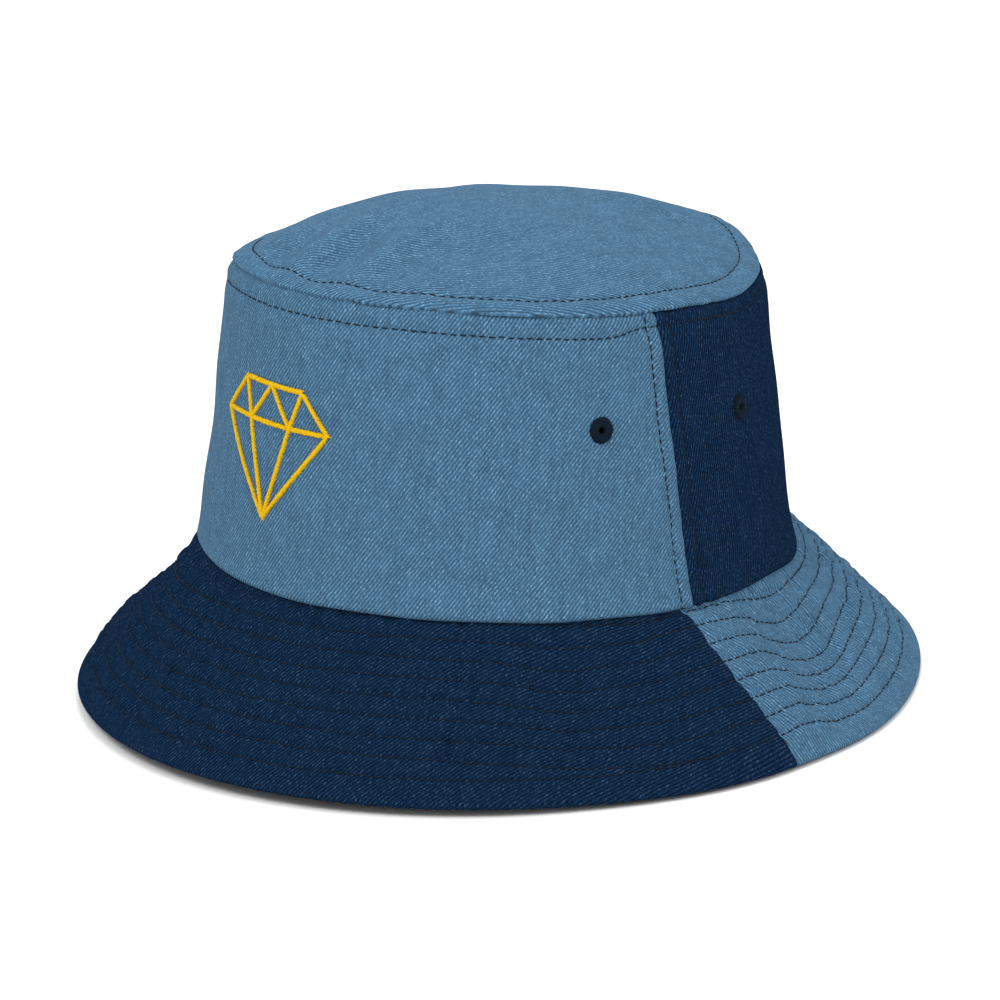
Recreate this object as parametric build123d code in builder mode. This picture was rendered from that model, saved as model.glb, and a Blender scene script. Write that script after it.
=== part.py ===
from build123d import *
from collections import namedtuple
from math import cos, hypot, radians, sin
import os

# A two-tone denim bucket hat, standing on the edge of its brim.
# Millimetres, +Z up. The front of the hat faces -Y and the wearer's left is +X.
# The origin is on the surface that the brim rests on, under the middle of the crown.
# The hat is oval, so every level of it is a Ring: half its length front to back,
# half its width side to side, and its height.

Ring = namedtuple("Ring", "half_length half_width height")

# ---- Driving dimensions ------------------------------------------------------

BRIM_EDGE = Ring(139.8, 125.1, 0.0)
CROWN_BASE = Ring(104.0, 88.7, 45.5)
TIP_SEAM = Ring(92.3, 74.5, 131.0)
TIP_DOME = 15.0  # how far the tip rises above its seam

DENIM = 0.9
INTERLINING = 0.4
SWEATBAND_CLOTH = 0.8
TAPE = 0.5
BACKING_CLOTH = 0.3
CLOTH_GAP = 0.05  # kept between two layers that lie on each other

SIDE_SEAM_Y = -11.0  # both side seams lie in this plane, a little in front of the middle
SEAM_ALLOWANCE = 8.0  # the brim's edge that is turned up inside the crown
TIP_LAND = 2.0  # width of the tip's flat edge, which lies on the side panels
LAYER_STEP_UP = 0.4  # how much higher than the edge the brim's inner layers end

SWEATBAND_FOOT = 1.0  # above the crown base
SWEATBAND_TALL = 32.0
SWEATBAND_STITCH_UP = 4.0

TIP_TAPE_TALL = 11.0
SIDE_TAPE_WIDE = 12.0
SIDE_TAPE_TOP = 9.0  # how far below the tip seam the side tapes end

THREAD_WIDE = 0.6
THREAD_THICK = 0.4
TOPSTITCH_FROM_SEAM = 6.4  # the rows each side of the tip seam
SIDE_STITCH_FROM_SEAM = 4.9  # the rows each side of a side seam
QUILTING_ROWS = 8
QUILTING_PITCH = 6.5
QUILTING_FROM_EDGE = 8.2

EYELET_ANGLE = {"front": 68.0, "back": 104.0}  # degrees round the crown from the front
EYELET_UP = 0.624  # share of the way up the side panel
EYELET_RADIUS = 4.1
EYELET_HOLE_RADIUS = 1.3
EYELET_BARREL_RADIUS = 2.2
EYELET_LIP = 0.6
EYELET_GAP = 0.2  # the wall curves away from a flat lip by less than this

MOTIF_UP = 0.46
MOTIF_LINE = 1.0
MOTIF_THICK = 0.7
MOTIF_REACH = 40.0  # how far the flat drawing of the motif is pushed through the wall
BACKING_WIDE = 48.0
BACKING_TALL = 46.0
BACKING_CORNER = 8.0

LABEL_WIDE = 22.0
LABEL_LONG = 38.0
LABEL_CLOTH = 0.5
LABEL_HINGE_X = -75.8
LABEL_HINGE_Z = 84.0
LABEL_FOLD_GAP = 0.6
LABEL_FOLD_TALL = 0.8
LABEL_FOLD_LONG = 3.4
SIZE_TAB_WIDE = 22.0
SIZE_TAB_TALL = 12.0
SIZE_TAB_REACH = 30.0

# A cut gem, drawn flat about its own middle: its corners, outline and facets.
GEM_TOP = [(-12, 19), (0, 19), (12, 19)]
GEM_GIRDLE = [(-21, 8), (-8, 8), (8, 8), (21, 8)]
GEM_POINT = (0, -20)
GEM_OUTLINE = [GEM_TOP[0], GEM_TOP[2], GEM_GIRDLE[3], GEM_POINT, GEM_GIRDLE[0]]
GEM_CROWN_FACETS = [
    (GEM_TOP[0], GEM_GIRDLE[0], GEM_GIRDLE[1]),
    (GEM_TOP[0], GEM_GIRDLE[1], GEM_TOP[1]),
    (GEM_TOP[1], GEM_GIRDLE[1], GEM_GIRDLE[2]),
    (GEM_TOP[1], GEM_GIRDLE[2], GEM_TOP[2]),
    (GEM_TOP[2], GEM_GIRDLE[2], GEM_GIRDLE[3]),
]
GEM_LOWER_FACETS = [(left, GEM_POINT, right) for left, right in zip(GEM_GIRDLE, GEM_GIRDLE[1:])]

# Which side of the side-seam plane each half of the hat is on.
HALVES = {"front": Keep.TOP, "back": Keep.BOTTOM}
SIDES = {"left": 1, "right": -1}


# ---- Rings and shells --------------------------------------------------------


def between(lower, upper, share):
    """The ring that is the given share of the way from one ring to another."""
    return Ring(*(low + (high - low) * share for low, high in zip(lower, upper)))


def inset(ring, by):
    """The ring drawn in by a distance all round, at the same height."""
    return Ring(ring.half_length - by, ring.half_width - by, ring.height)


def wall_ring(height_above_base):
    """The outside of the crown wall at a height above the crown base."""
    return between(CROWN_BASE, TIP_SEAM, height_above_base / WALL_TALL)


def brim_ring(from_edge):
    """The upper side of the brim at a distance up its slope from the edge."""
    return between(BRIM_EDGE, BRIM_TOP_END, from_edge / BRIM_SLANT)


def oval(ring):
    """The level oval of a ring, as a sketch."""
    with BuildSketch(Plane.XY.offset(ring.height)) as sketch:
        Ellipse(ring.half_width, ring.half_length)
    return sketch.sketch


def shell(rings, outer, inner):
    """Adds the wall between two insets of the same rings to the part being built."""
    loft([oval(inset(ring, outer)) for ring in rings], ruled=True)
    loft([oval(inset(ring, inner)) for ring in rings], ruled=True, mode=Mode.SUBTRACT)


def keep_shell(rings, outer, inner):
    """Cuts the part being built down to the wall between two insets of the rings."""
    loft([oval(inset(ring, outer)) for ring in rings], ruled=True, mode=Mode.INTERSECT)
    loft([oval(inset(ring, inner)) for ring in rings], ruled=True, mode=Mode.SUBTRACT)


def wall_point(angle, share):
    """A point on the outside of the crown wall, angle degrees from the front."""
    ring = between(CROWN_BASE, TIP_SEAM, share)
    turn = radians(angle)
    return Vector(ring.half_width * sin(turn), -ring.half_length * cos(turn), ring.height)


def wall_plane(angle, share):
    """The plane that touches the crown wall from outside at that point."""
    ring = between(CROWN_BASE, TIP_SEAM, share)
    turn = radians(angle)
    along = Vector(ring.half_width * cos(turn), ring.half_length * sin(turn), 0)
    upward = wall_point(angle, 1) - wall_point(angle, 0)
    return Plane(wall_point(angle, share), x_dir=along, z_dir=along.cross(upward))


def dome_height(radius):
    """The height of the tip above its seam, at a distance from the middle."""
    curve = (TIP_SEAM.half_length**2 + TIP_DOME**2) / (2 * TIP_DOME)
    return TIP_DOME - curve + (curve**2 - radius**2) ** 0.5


def save(part, name):
    """Labels a finished piece and writes it as the node of that name."""
    part.label = name
    export_step(part, f"parts/{name}.step")


# ---- Sizes that follow from the driving dimensions ---------------------------

WALL_TALL = TIP_SEAM.height - CROWN_BASE.height
WALL = [CROWN_BASE, TIP_SEAM]

# The layers, counted inwards from the outside of the crown wall.
BRIM_DEPTH = DENIM + CLOTH_GAP
BRIM_TOP_END = inset(CROWN_BASE, BRIM_DEPTH)
BRIM_SLANT = hypot(BRIM_EDGE.half_length - BRIM_TOP_END.half_length, BRIM_TOP_END.height)
BRIM = [BRIM_EDGE, BRIM_TOP_END, inset(wall_ring(SEAM_ALLOWANCE), BRIM_DEPTH)]
BRIM_INNER = [brim_ring(LAYER_STEP_UP), BRIM[1], BRIM[2]]

STIFFENER_IN = DENIM + CLOTH_GAP
UNDER_IN = STIFFENER_IN + INTERLINING + CLOTH_GAP
SWEATBAND_IN = BRIM_DEPTH + UNDER_IN + DENIM + CLOTH_GAP
HEAD_IN = SWEATBAND_IN + SWEATBAND_CLOTH
LINING_IN = DENIM + CLOTH_GAP  # where tapes and backing lie against the wall
TIP_TAPE_IN = LINING_IN + TAPE + CLOTH_GAP  # over the ends of the side tapes

SEAM_PLANE = Plane((0, SIDE_SEAM_Y, 0), x_dir=(1, 0, 0), z_dir=(0, -1, 0))

os.makedirs("parts", exist_ok=True)

# ---- Crown -------------------------------------------------------------------

# Tip: a shallow dome, revolved at the length of the oval and then narrowed to its
# width. Its flat edge lies on the upper edge of the side panels.
TIP_SECTION = Plane((0, 0, TIP_SEAM.height), x_dir=(1, 0, 0), z_dir=(0, -1, 0))
TIP_NARROWING = (TIP_SEAM.half_width / TIP_SEAM.half_length, 1, 1)

with BuildPart() as crown_tip:
    with BuildSketch(TIP_SECTION):
        with BuildLine():
            TangentArc((0, TIP_DOME), (TIP_SEAM.half_length, 0), tangent=(1, 0))
            Line((TIP_SEAM.half_length, 0), (TIP_SEAM.half_length - TIP_LAND, 0))
            TangentArc(
                (0, TIP_DOME - DENIM),
                (TIP_SEAM.half_length - TIP_LAND, 0),
                tangent=(1, 0),
            )
            Line((0, TIP_DOME - DENIM), (0, TIP_DOME))
        make_face()
    revolve(axis=Axis.Z)
    scale(by=TIP_NARROWING)
save(crown_tip.part, "crown_tip")

# Side panels: the front and back halves of the band, joined at the side seams.
for half, kept in HALVES.items():
    with BuildPart() as side_panel:
        shell(WALL, 0, DENIM)
        split(bisect_by=SEAM_PLANE, keep=kept)
        for sign in SIDES.values():
            with Locations(wall_plane(sign * EYELET_ANGLE[half], EYELET_UP)):
                Hole(EYELET_BARREL_RADIUS + CLOTH_GAP, depth=3 * DENIM)
    save(side_panel.part, f"side_panel_{half}")

# Eyelets: embroidered rings that grip the edge of each vent hole from both sides.
for half, angle in EYELET_ANGLE.items():
    for side, sign in SIDES.items():
        with BuildPart(wall_plane(sign * angle, EYELET_UP)) as eyelet:
            with Locations((0, 0, EYELET_GAP + EYELET_LIP / 2)):
                Cylinder(EYELET_RADIUS, EYELET_LIP)
            with Locations((0, 0, -DENIM - EYELET_GAP - EYELET_LIP / 2)):
                Cylinder(EYELET_RADIUS, EYELET_LIP)
            with Locations((0, 0, -DENIM / 2)):
                Cylinder(EYELET_BARREL_RADIUS, DENIM + 2 * EYELET_GAP)
            Hole(EYELET_HOLE_RADIUS)
        save(eyelet.part, f"eyelet_{side}_{half}")

# ---- Brim --------------------------------------------------------------------

# Each half has an upper layer, a stiff interlining and an under layer. All three
# are turned up inside the crown, and only the upper layer reaches the very edge.
BRIM_LAYERS = {
    "brim_top": (BRIM, 0, DENIM),
    "brim_interlining": (BRIM_INNER, STIFFENER_IN, STIFFENER_IN + INTERLINING),
    "brim_under": (BRIM_INNER, UNDER_IN, UNDER_IN + DENIM),
}
for layer, (rings, outer, inner) in BRIM_LAYERS.items():
    for half, kept in HALVES.items():
        with BuildPart() as brim_layer:
            shell(rings, outer, inner)
            split(bisect_by=SEAM_PLANE, keep=kept)
        save(brim_layer.part, f"{layer}_{half}")

# ---- Inside the crown --------------------------------------------------------

SWEATBAND_RINGS = [wall_ring(SWEATBAND_FOOT), wall_ring(SWEATBAND_FOOT + SWEATBAND_TALL)]

with BuildPart() as sweatband:
    shell(SWEATBAND_RINGS, SWEATBAND_IN, HEAD_IN)
save(sweatband.part, "sweatband")

with BuildPart() as tip_seam_tape:
    shell(
        [wall_ring(WALL_TALL - TIP_TAPE_TALL), wall_ring(WALL_TALL - 2 * CLOTH_GAP)],
        TIP_TAPE_IN,
        TIP_TAPE_IN + TAPE,
    )
save(tip_seam_tape.part, "tip_seam_tape")

SIDE_TAPE_RINGS = [
    wall_ring(SEAM_ALLOWANCE + 2 * CLOTH_GAP),
    wall_ring(WALL_TALL - SIDE_TAPE_TOP),
]
for side, sign in SIDES.items():
    with BuildPart() as side_seam_tape:
        shell(SIDE_TAPE_RINGS, LINING_IN, LINING_IN + TAPE)
        with Locations((sign * CROWN_BASE.half_width, SIDE_SEAM_Y, TIP_SEAM.height / 2)):
            Box(CROWN_BASE.half_width, SIDE_TAPE_WIDE, TIP_SEAM.height, mode=Mode.INTERSECT)
    save(side_seam_tape.part, f"side_seam_tape_{side}")

# ---- Stitching ---------------------------------------------------------------


def thread_band(rings):
    """Adds a row of stitching that lies on the outside of the rings."""
    shell(rings, -CLOTH_GAP - THREAD_THICK, -CLOTH_GAP)


TIP_STITCH_OUT = TIP_SEAM.half_length - TOPSTITCH_FROM_SEAM
TIP_STITCH_IN = TIP_STITCH_OUT - THREAD_WIDE
TIP_STITCH_SECTION = [
    (TIP_STITCH_OUT, dome_height(TIP_STITCH_OUT) + CLOTH_GAP),
    (TIP_STITCH_IN, dome_height(TIP_STITCH_IN) + CLOTH_GAP),
    (TIP_STITCH_IN, dome_height(TIP_STITCH_IN) + CLOTH_GAP + THREAD_THICK),
    (TIP_STITCH_OUT, dome_height(TIP_STITCH_OUT) + CLOTH_GAP + THREAD_THICK),
]

with BuildPart() as tip_topstitch:
    with BuildSketch(TIP_SECTION):
        Polygon(*TIP_STITCH_SECTION, align=None)
    revolve(axis=Axis.Z)
    scale(by=TIP_NARROWING)
save(tip_topstitch.part, "tip_topstitch")

BAND_STITCH_UP = WALL_TALL - TOPSTITCH_FROM_SEAM

with BuildPart() as band_topstitch:
    thread_band([wall_ring(BAND_STITCH_UP - THREAD_WIDE), wall_ring(BAND_STITCH_UP)])
save(band_topstitch.part, "band_topstitch")

SIDE_STITCH_RINGS = [
    wall_ring(THREAD_WIDE),
    wall_ring(BAND_STITCH_UP - 2 * THREAD_WIDE),
]
for side, x_sign in SIDES.items():
    for half, y_sign in (("front", -1), ("back", 1)):
        seam_x = x_sign * CROWN_BASE.half_width
        stitch_y = SIDE_SEAM_Y + y_sign * SIDE_STITCH_FROM_SEAM
        with BuildPart() as side_topstitch:
            thread_band(SIDE_STITCH_RINGS)
            with Locations((seam_x, stitch_y, TIP_SEAM.height / 2)):
                Box(CROWN_BASE.half_width, THREAD_WIDE, TIP_SEAM.height, mode=Mode.INTERSECT)
        save(side_topstitch.part, f"side_topstitch_{side}_{half}")

for row in range(QUILTING_ROWS):
    from_edge = QUILTING_FROM_EDGE + row * QUILTING_PITCH
    with BuildPart() as quilting_row:
        thread_band([brim_ring(from_edge), brim_ring(from_edge + THREAD_WIDE)])
    save(quilting_row.part, f"brim_quilting_row_{row + 1}")

SWEATBAND_STITCH_RINGS = [
    wall_ring(SWEATBAND_STITCH_UP),
    wall_ring(SWEATBAND_STITCH_UP + THREAD_WIDE),
]
with BuildPart() as sweatband_stitch:
    shell(SWEATBAND_STITCH_RINGS, HEAD_IN + CLOTH_GAP, HEAD_IN + CLOTH_GAP + THREAD_THICK)
save(sweatband_stitch.part, "sweatband_stitch")

# ---- Embroidery --------------------------------------------------------------

# The motif is drawn flat in front of the hat, and keeps only what lies on the wall.
MOTIF_PLANE = Plane(
    (0, -CROWN_BASE.half_length + MOTIF_REACH / 2, CROWN_BASE.height + MOTIF_UP * WALL_TALL),
    x_dir=(1, 0, 0),
    z_dir=(0, -1, 0),
)

with BuildPart() as embroidery:
    with BuildSketch(MOTIF_PLANE):
        Polygon(*GEM_OUTLINE, align=None)
        offset(amount=MOTIF_LINE / 2, kind=Kind.INTERSECTION)
        for facet in GEM_CROWN_FACETS + GEM_LOWER_FACETS:
            drawn = Polygon(*facet, align=None, mode=Mode.PRIVATE)
            offset(drawn, amount=-MOTIF_LINE / 2, kind=Kind.INTERSECTION, mode=Mode.SUBTRACT)
    extrude(amount=MOTIF_REACH)
    keep_shell(WALL, -CLOTH_GAP - MOTIF_THICK, -CLOTH_GAP)
save(embroidery.part, "embroidery")

with BuildPart() as embroidery_backing:
    with BuildSketch(MOTIF_PLANE):
        RectangleRounded(BACKING_WIDE, BACKING_TALL, BACKING_CORNER)
    extrude(amount=MOTIF_REACH)
    keep_shell(WALL, LINING_IN, LINING_IN + BACKING_CLOTH)
save(embroidery_backing.part, "embroidery_backing")

# ---- Labels ------------------------------------------------------------------

# The care label hangs from the right side seam by its stitched fold, and swings.
with BuildPart() as care_label:
    with Locations((LABEL_HINGE_X, SIDE_SEAM_Y, LABEL_HINGE_Z - LABEL_LONG / 2)):
        Box(LABEL_CLOTH, LABEL_WIDE, LABEL_LONG)
save(care_label.part, "care_label")

LABEL_FOLD_X = LABEL_HINGE_X - LABEL_FOLD_LONG / 2
LABEL_FOLD_Z = LABEL_HINGE_Z + LABEL_FOLD_GAP + LABEL_FOLD_TALL / 2

with BuildPart() as care_label_fold:
    with Locations((LABEL_FOLD_X, SIDE_SEAM_Y, LABEL_FOLD_Z)):
        Box(LABEL_FOLD_LONG, SIDE_TAPE_WIDE, LABEL_FOLD_TALL)
save(care_label_fold.part, "care_label_fold")

# The size tab is a blank patch sewn to the sweatband at the back.
SIZE_TAB_PLANE = Plane(
    (0, CROWN_BASE.half_length - SIZE_TAB_REACH, CROWN_BASE.height + SWEATBAND_TALL / 2),
    x_dir=(-1, 0, 0),
    z_dir=(0, 1, 0),
)
SIZE_TAB_IN = HEAD_IN + CLOTH_GAP

with BuildPart() as size_tab:
    with BuildSketch(SIZE_TAB_PLANE):
        Rectangle(SIZE_TAB_WIDE, SIZE_TAB_TALL)
    extrude(amount=SIZE_TAB_REACH)
    keep_shell(WALL, SIZE_TAB_IN, SIZE_TAB_IN + LABEL_CLOTH)
save(size_tab.part, "size_tab")
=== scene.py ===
"""A two-tone denim bucket hat, standing on its brim on a pale floor.

Lengths in this script are millimetres until a mesh is made, and then metres.
The front of the hat faces -Y and the wearer's left is +X. A turn is the angle
round the hat in radians, from the front towards the wearer's left.
"""

import math

import bpy
import numpy as np
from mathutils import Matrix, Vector


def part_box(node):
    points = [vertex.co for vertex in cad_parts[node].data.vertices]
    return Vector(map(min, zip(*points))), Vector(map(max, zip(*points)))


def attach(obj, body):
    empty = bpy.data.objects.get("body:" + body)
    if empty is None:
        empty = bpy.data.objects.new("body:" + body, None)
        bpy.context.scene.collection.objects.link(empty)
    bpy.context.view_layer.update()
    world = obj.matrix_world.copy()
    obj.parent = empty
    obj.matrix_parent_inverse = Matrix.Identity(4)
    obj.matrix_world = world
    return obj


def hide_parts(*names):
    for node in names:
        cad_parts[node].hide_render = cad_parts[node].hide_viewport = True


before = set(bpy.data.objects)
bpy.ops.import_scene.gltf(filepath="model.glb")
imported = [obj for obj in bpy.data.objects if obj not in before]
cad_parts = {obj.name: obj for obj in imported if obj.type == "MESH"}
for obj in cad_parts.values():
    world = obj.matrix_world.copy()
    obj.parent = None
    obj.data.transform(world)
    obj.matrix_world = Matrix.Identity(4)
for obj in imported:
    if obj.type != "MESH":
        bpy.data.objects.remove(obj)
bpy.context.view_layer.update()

MM = 0.001
TAU = 2 * math.pi


# ---- Sizes of the CAD model ----


def corners(node):
    """The lowest and highest corner of a CAD node, in millimetres."""
    low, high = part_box(node)
    return np.array(low) / MM, np.array(high) / MM


PANEL_LOW, PANEL_HIGH = corners("side_panel_back")
TIP_LOW, TIP_HIGH = corners("crown_tip")
BRIM_HIGH = corners("brim_top_back")[1]

BASE_LONG, BASE_WIDE, BASE_Z = PANEL_HIGH[1], PANEL_HIGH[0], PANEL_LOW[2]
SEAM_LONG, SEAM_WIDE, SEAM_Z = TIP_HIGH[1], TIP_HIGH[0], PANEL_HIGH[2]
EDGE_LONG, EDGE_WIDE = BRIM_HIGH[1], BRIM_HIGH[0]
TIP_RISE = TIP_HIGH[2] - TIP_LOW[2]
SIDE_SEAM_Y = PANEL_LOW[1]
WALL_SLANT = math.hypot(SEAM_Z - BASE_Z, BASE_LONG - SEAM_LONG)

DENIM = 0.9
INTERLINING = 0.4
SWEATBAND_CLOTH = 0.8
TAPE = 0.5
BACKING_CLOTH = 0.3
CLOTH_GAP = 0.05
BRIM_THICK = 2 * DENIM + INTERLINING + 2 * CLOTH_GAP

# How far inside the outside of the crown wall each hidden layer lies.
LINING_IN = DENIM + CLOTH_GAP
SWEATBAND_IN = LINING_IN + BRIM_THICK + CLOTH_GAP
HEAD_IN = SWEATBAND_IN + SWEATBAND_CLOTH
BRIM_SLANT = math.hypot(EDGE_LONG - BASE_LONG + LINING_IN, BASE_Z)


# ---- How the soft hat really stands ----

FRONT_UP = 5.2  # the crown's front leans up by this at its base, and its back down
FRONT_UP_MORE = 0.7  # and by this much more at the tip
LEFT_DOWN = 4.1  # the crown's left side sinks by this, and its right side rises
LEFT_DOWN_MORE = 2.0
CROWN_FORWARD = 3.1
BRIM_BACK = 3.1
EDGE_LIFT = 2.3  # how far the brim's front and back edge rise over its sides
RIGHT_EDGE_UP = 2.4  # and how far it rises at the wearer's right
RIGHT_EDGE_AT, RIGHT_EDGE_WIDE = -74, 20  # degrees
RAISED = 1.7  # the hat's height over the floor, which only the places below touch
EDGE_OVER_FLOOR = 1.3  # the upper side where the brim touches the floor
TOUCHES = (
    # degrees round from the front, degrees wide
    (-125, 20),
    (122, 14),
    (188, 22),
)

CROWN_TWIST = 0.016  # radians that the crown is turned on the brim
SLACK = (0.5, 0.5, 0.4)  # how far the cloth wanders along x, y and z
SLACK_LENGTH = 95  # the length of those waves
BULGES = (
    # degrees round from the front, degrees wide, mm outwards at the base and at the tip
    (-52, 44, -8.2, -4.6),
    (-90, 18, 6.0, 0.5),
    (135, 40, -1.8, 1.2),
)
SAGS = (
    # degrees round from the front, degrees wide, mm upwards at the base and at the tip
    (-72, 34, -3.5, -3.4),
    (-95, 36, 0.0, -4.5),
    (-125, 24, 0.0, -1.0),
    (-42, 18, 0.0, -1.5),
    (118, 20, 0.5, -3.5),
    (124, 13, -2.4, 0.0),
    (142, 13, 0.0, -2.4),
    (160, 36, 0.0, 5.5),
)
EDGE_BULGES = (
    # degrees round from the front, degrees wide, mm outwards along the brim
    (-50, 30, 0.7),
    (0, 18, 0.5),
    (78, 15, 2.5),
    (103, 14, 2.0),
)


def waves(points, seed, length, count=5):
    """Smooth noise between about -1 and 1 in space, with waves near a length."""
    draw = np.random.default_rng(seed)
    total = np.zeros(points.shape[:-1])
    for _ in range(count):
        way = draw.normal(size=3)
        way *= TAU / (length * draw.uniform(0.7, 1.4) * np.linalg.norm(way))
        total += np.sin(points @ way + draw.uniform(0, TAU))
    return total / math.sqrt(count)


def bell(distance, width):
    """A smooth bump of height 1 at distance 0."""
    return np.exp(-((distance / width) ** 2))


def smooth(share):
    """An even step from 0 to 1 as share goes from 0 to 1."""
    t = np.clip(share, 0, 1)
    return t * t * (3 - 2 * t)


def unit(ways):
    return ways / np.linalg.norm(ways, axis=-1, keepdims=True)


def wrapped(turn):
    """The same turn, counted between half a turn back and half a turn ahead."""
    return (turn + math.pi) % TAU - math.pi


def degrees_between(degrees, other):
    return (degrees - other + 180) % 360 - 180


def uneven(degrees, high, places):
    """The sum of some smooth bumps round the crown, each with its size low and high up."""
    total = np.zeros(degrees.shape)
    for centre, wide, low, top in places:
        total += (low + (top - low) * high) * bell(degrees_between(degrees, centre), wide)
    return total


def settled(points):
    """Moves points of the even, level hat to where the real one's cloth lies."""
    x, y, z = np.moveaxis(points, -1, 0)
    up = np.clip(z / BASE_Z, 0, 1)
    high = np.clip((z - BASE_Z) / (SEAM_Z - BASE_Z), 0, 1)
    degrees = np.degrees(np.arctan2(x / BASE_WIDE, -y / BASE_LONG))
    middle = smooth(np.hypot(x / SEAM_WIDE, y / SEAM_LONG))
    lean = (FRONT_UP + FRONT_UP_MORE * high) * -y / BASE_LONG
    lean -= (LEFT_DOWN + LEFT_DOWN_MORE * high) * x / BASE_WIDE
    lean += middle * uneven(degrees, high, SAGS)
    out = up * middle * uneven(degrees, high, BULGES) / np.maximum(np.hypot(x, y), 1)
    forward = BRIM_BACK * (1 - up) - CROWN_FORWARD * up + CROWN_TWIST * up * x
    aside = -CROWN_TWIST * up * y
    moved = np.stack([x * (1 + out) + aside, y * (1 + out) + forward, z + up * lean + RAISED], -1)
    slack = np.stack([waves(points, seed, SLACK_LENGTH) for seed in (3, 4, 5)], -1)
    return moved + up[..., None] * slack * SLACK


# ---- Surfaces: each takes a turn and a distance, and gives points ----

FLARE = 1.5  # how far the foot of the crown wall flares out
FLARE_TALL = 9.0
FOOT_ROLL = 1.5  # radius of the wall's folded foot
SHOULDER_IN = 1.7  # how far the wall's top draws in to the tip seam
SHOULDER_TALL = 13.0
ALLOWANCE = 8.0  # the brim's inner edge that is turned up inside the crown
DOME_POWER = 2.6  # 2 is an even dome, and more is flatter in the middle
TIP_SWELL = (-22.0, -14.0)  # the middle of a soft swell on the crown's top
TIP_SWELL_HIGH, TIP_SWELL_WIDE = 4.2, 36.0


def level_oval(turn, long, wide, height):
    return np.stack([wide * np.sin(turn), -long * np.cos(turn), height + 0 * turn], -1)


def outward(turn, long, wide):
    """The level direction that points straight out of an oval."""
    return unit(np.stack([np.sin(turn) / wide, -np.cos(turn) / long, 0 * turn], -1))


def wall_oval(up):
    """The half length and half width of the crown wall, at a distance up it."""
    share = up / WALL_SLANT
    return BASE_LONG + (SEAM_LONG - BASE_LONG) * share, BASE_WIDE + (SEAM_WIDE - BASE_WIDE) * share


def straight_wall(turn, up, out=0.0):
    """The plain slanting crown wall, moved out by a distance, before it settles."""
    long, wide = wall_oval(up)
    height = BASE_Z + (SEAM_Z - BASE_Z) * up / WALL_SLANT
    return level_oval(turn, long + out, wide + out, height)


def wall(turn, up):
    """The outside of the crown wall, at a distance up it from the crown base.

    Distances below 0 follow the folded foot, which rolls in under the wall.
    """
    turn, up = np.broadcast_arrays(turn, up)
    flare = FLARE * np.exp(-np.maximum(up, 0) / FLARE_TALL)
    shoulder = SHOULDER_IN * np.clip(1 - (WALL_SLANT - up) / SHOULDER_TALL, 0, 1) ** 2
    rolled = np.clip(-up / FOOT_ROLL, 0, math.pi)
    roll_in = FOOT_ROLL * (1 - np.cos(rolled))
    even = straight_wall(turn, np.maximum(up, 0), flare - shoulder - roll_in)
    even[..., 2] -= FOOT_ROLL * np.sin(rolled)
    return settled(even)


def lining(turn, up):
    """The crown's inside, where it has no flare, as far out as the wall's outside."""
    turn, up = np.broadcast_arrays(turn, up)
    return settled(straight_wall(turn, up))


def tip(turn, inwards):
    """The top of the crown, at a distance inwards from the tip seam."""
    turn, inwards = np.broadcast_arrays(turn, inwards)
    share = inwards / SEAM_WIDE
    wide = (SEAM_WIDE - SHOULDER_IN) * (1 - share)
    long = (SEAM_LONG - SHOULDER_IN) * (1 - share) + (SEAM_LONG - SEAM_WIDE) * share * (1 - share)
    across = np.hypot(wide * np.sin(turn) / SEAM_WIDE, long * np.cos(turn) / SEAM_LONG)
    even = level_oval(turn, long, wide, SEAM_Z + TIP_RISE * (1 - across**DOME_POWER))
    from_swell = np.linalg.norm(even[..., :2] - TIP_SWELL, axis=-1)
    even[..., 2] += TIP_SWELL_HIGH * bell(from_swell, TIP_SWELL_WIDE)
    return settled(even)


def brim_root(turn):
    """Where the brim's upper side goes in under the crown wall."""
    return settled(straight_wall(turn, 0.0, -LINING_IN))


def brim_edge(turn):
    """The brim's edge straight out from the crown at that turn."""
    root = brim_root(turn)
    way = outward(turn, BASE_LONG, BASE_WIDE)
    x, y = root[..., 0] / EDGE_WIDE, (root[..., 1] - BRIM_BACK) / EDGE_LONG
    dx, dy = way[..., 0] / EDGE_WIDE, way[..., 1] / EDGE_LONG
    a, b, c = dx**2 + dy**2, x * dx + y * dy, x**2 + y**2 - 1
    reach = (-b + np.sqrt(b**2 - a * c)) / a
    degrees = np.degrees(turn)
    for centre, wide, more in EDGE_BULGES:
        reach = reach + more * bell(degrees_between(degrees, centre), wide)
    edge = root + way * reach[..., None]
    edge[..., 2] = RAISED + EDGE_LIFT * ((edge[..., 1] - BRIM_BACK) / EDGE_LONG) ** 2
    edge[..., 2] += RIGHT_EDGE_UP * bell(degrees_between(degrees, RIGHT_EDGE_AT), RIGHT_EDGE_WIDE)
    for centre, wide in TOUCHES:
        edge[..., 2] += (EDGE_OVER_FLOOR - edge[..., 2]) * bell(degrees_between(degrees, centre), wide)
    return edge


def brim_slant(turn):
    return np.linalg.norm(brim_root(turn) - brim_edge(turn), axis=-1)


def brim(turn, from_edge):
    """The upper side of the brim, at a distance up its slope from the edge.

    Past the end of the slope it turns up inside the crown wall.
    """
    turn, from_edge = np.broadcast_arrays(turn, from_edge)
    slant = brim_slant(turn)
    root, edge = brim_root(turn), brim_edge(turn)
    share = np.minimum(from_edge / slant, 1)
    slope = edge + (root - edge) * share[..., None]
    slope[..., 2] += ripple(turn, from_edge)
    past = np.maximum(from_edge - slant, 0)
    turned_up = settled(straight_wall(turn, past, -LINING_IN)) - root
    return slope + turned_up


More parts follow.
